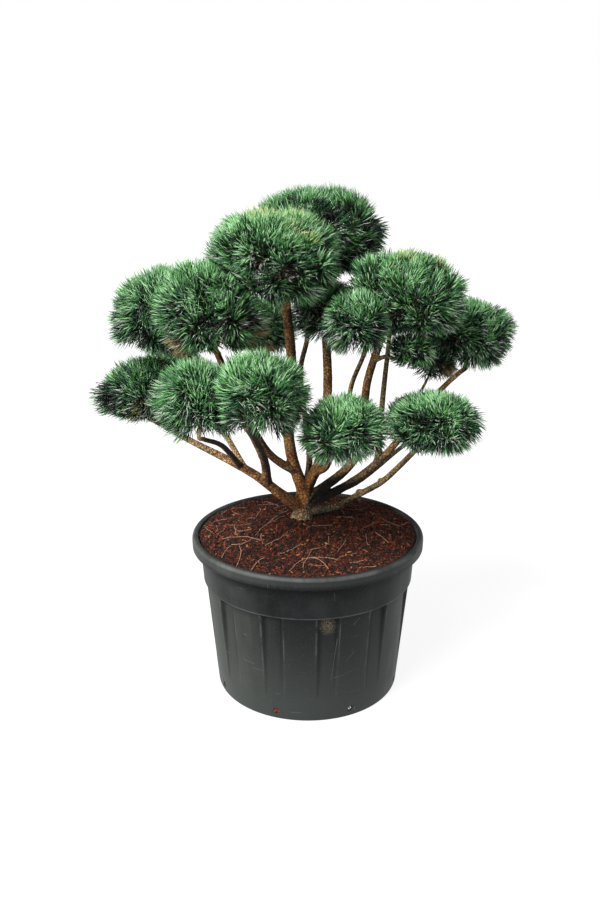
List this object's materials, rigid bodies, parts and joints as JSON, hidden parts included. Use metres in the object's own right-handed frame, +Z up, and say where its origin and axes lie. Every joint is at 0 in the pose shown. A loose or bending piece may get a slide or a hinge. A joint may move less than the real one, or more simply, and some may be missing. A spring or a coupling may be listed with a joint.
{
  "type": "potted scots pine",
  "caption": "Scots pine of the slow Watereri kind, pot-grown and trained as a many-stemmed bush of clipped needle cushions, in a round ribbed nursery pot.",
  "frame": {"origin": "centre of the pot's flat underside, on the surface that it stands on", "axes": "+Z up; -Y towards the viewer of the picture; +X to the viewer's right"},
  "size_m": [1.1155, 0.7933, 1.2913],
  "materials": {
    "pot": "charcoal black nursery-pot plastic, satin, scuffed",
    "growing_mix": "loose reddish-brown bark and coir mix, matt",
    "bark": "scaly pine bark, orange-brown low down and grey-brown above, matt",
    "needles": "blue-green pine needles on grey-brown twigs, satin"
  },
  "bodies": {
    "root": {"pot": "pot", "growing_mix": "growing_mix", "trunk": "bark", "bough_top_front": "bark", "bough_top_rear": "bark", "bough_left": "bark", "bough_right": "bark", "bough_far_right": "bark", "bough_low_right": "bark", "bough_rear_centre": "bark", "bough_rear_low_right": "bark", "bough_low_front": "bark", "bough_low_left": "bark", "bough_rear_left": "bark", "bough_left_inner": "bark", "bough_left_outer": "bark", "bough_rear_top": "bark", "bough_low_centre": "bark", "bough_right_inner": "bark", "bough_right_under": "bark", "bough_rear_right": "bark", "bough_far_right_inner": "bark", "foliage_top_front": "needles", "foliage_top_rear": "needles", "foliage_left_inner": "needles", "foliage_left_outer": "needles", "foliage_right": "needles", "foliage_right_inner": "needles", "foliage_right_under": "needles", "foliage_far_right": "needles", "foliage_far_right_inner": "needles", "foliage_low_left_outer": "needles", "foliage_low_left": "needles", "foliage_low_front": "needles", "foliage_low_centre": "needles", "foliage_low_right": "needles", "foliage_rear_left": "needles", "foliage_rear_top": "needles", "foliage_under_top": "needles", "foliage_rear_right": "needles", "foliage_rear_low_right": "needles"}
  },
  "joints": []
}
